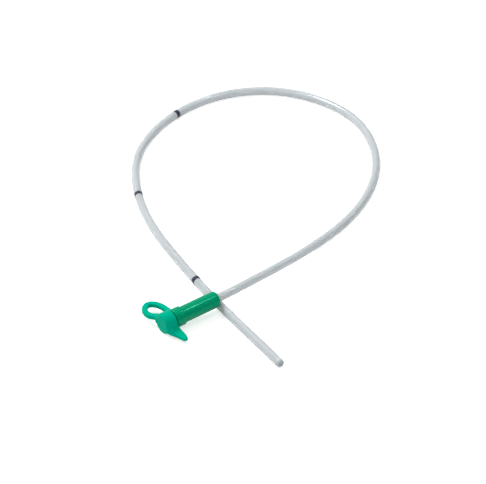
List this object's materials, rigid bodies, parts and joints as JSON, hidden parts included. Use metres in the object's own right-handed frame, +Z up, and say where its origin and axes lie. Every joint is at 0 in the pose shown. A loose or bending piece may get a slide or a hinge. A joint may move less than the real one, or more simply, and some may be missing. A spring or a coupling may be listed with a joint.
{
  "type": "umbilical catheter",
  "caption": "Soft single-lumen tube with an open rounded tip, a moulded connector and a tethered closure cap with a pull tab.",
  "frame": {"origin": "on the surface that the catheter lies on, under the middle of the connector with its closure", "axes": "+Z up, +X along the connector towards the tube, +Y towards the closure strap"},
  "size_m": [0.1187, 0.1322, 0.0069],
  "materials": {
    "tube": "satin, translucent",
    "connector": "smooth moulded, slightly glossy",
    "closure": "smooth moulded, slightly glossy"
  },
  "bodies": {
    "root": {"catheter_tube": "tube", "connector": "connector", "closure_strap": "closure"},
    "cap": {"closure_cap": "closure"}
  },
  "joints": [
    {"name": "cap_pull", "type": "slide", "parent": "root", "child": "cap", "axis": [-0.9986, 0, -0.0537], "range_m": [0, 0.008]}
  ]
}
